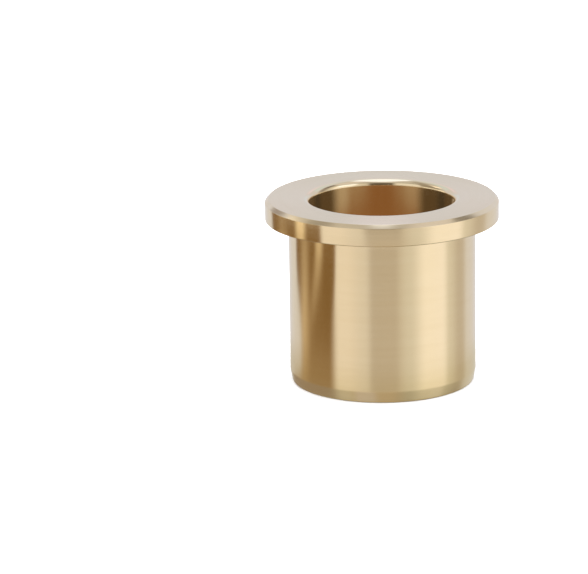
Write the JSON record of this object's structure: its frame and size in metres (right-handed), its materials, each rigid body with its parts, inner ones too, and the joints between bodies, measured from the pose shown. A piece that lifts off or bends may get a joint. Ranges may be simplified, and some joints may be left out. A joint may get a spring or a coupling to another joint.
{
  "type": "flanged sleeve bushing",
  "caption": "Turned bronze plain bearing: a straight sleeve with a through bore and a collar flange at one end.",
  "frame": {"origin": "centre of the sleeve's free-end face, on the bore's axis", "axes": "+Z along the bore's axis, from the sleeve's free end towards the flange; X and Y are any two radial directions at right angles, because the part is a body of revolution"},
  "size_m": [0.065, 0.065, 0.052],
  "materials": {
    "bronze": "fine-turned bare bronze, satin to bright, with fine circular lathe marks"
  },
  "bodies": {
    "root": {"flanged_bushing": "bronze"}
  },
  "joints": []
}
